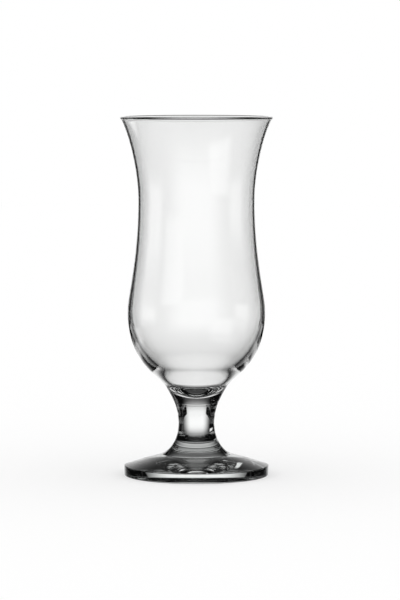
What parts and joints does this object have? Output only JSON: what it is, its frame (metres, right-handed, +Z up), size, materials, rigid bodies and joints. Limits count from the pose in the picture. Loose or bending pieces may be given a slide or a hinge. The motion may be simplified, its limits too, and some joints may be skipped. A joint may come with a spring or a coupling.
{
  "type": "tulip beer glass",
  "caption": "Clear footed beer glass: flared rim, drawn-in waist and round belly on a short solid stem and a heavy round foot.",
  "frame": {"origin": "centre of the circle that the foot rests on", "axes": "+Z up along the glass's axis of revolution, from the foot to the rim; +X and +Y are free, because the glass is round"},
  "size_m": [0.0858, 0.0858, 0.202],
  "materials": {
    "clear_glass": "clear colourless soda-lime glass, fire polished"
  },
  "bodies": {
    "root": {"bowl": "clear_glass", "stem": "clear_glass", "foot": "clear_glass"}
  },
  "joints": []
}
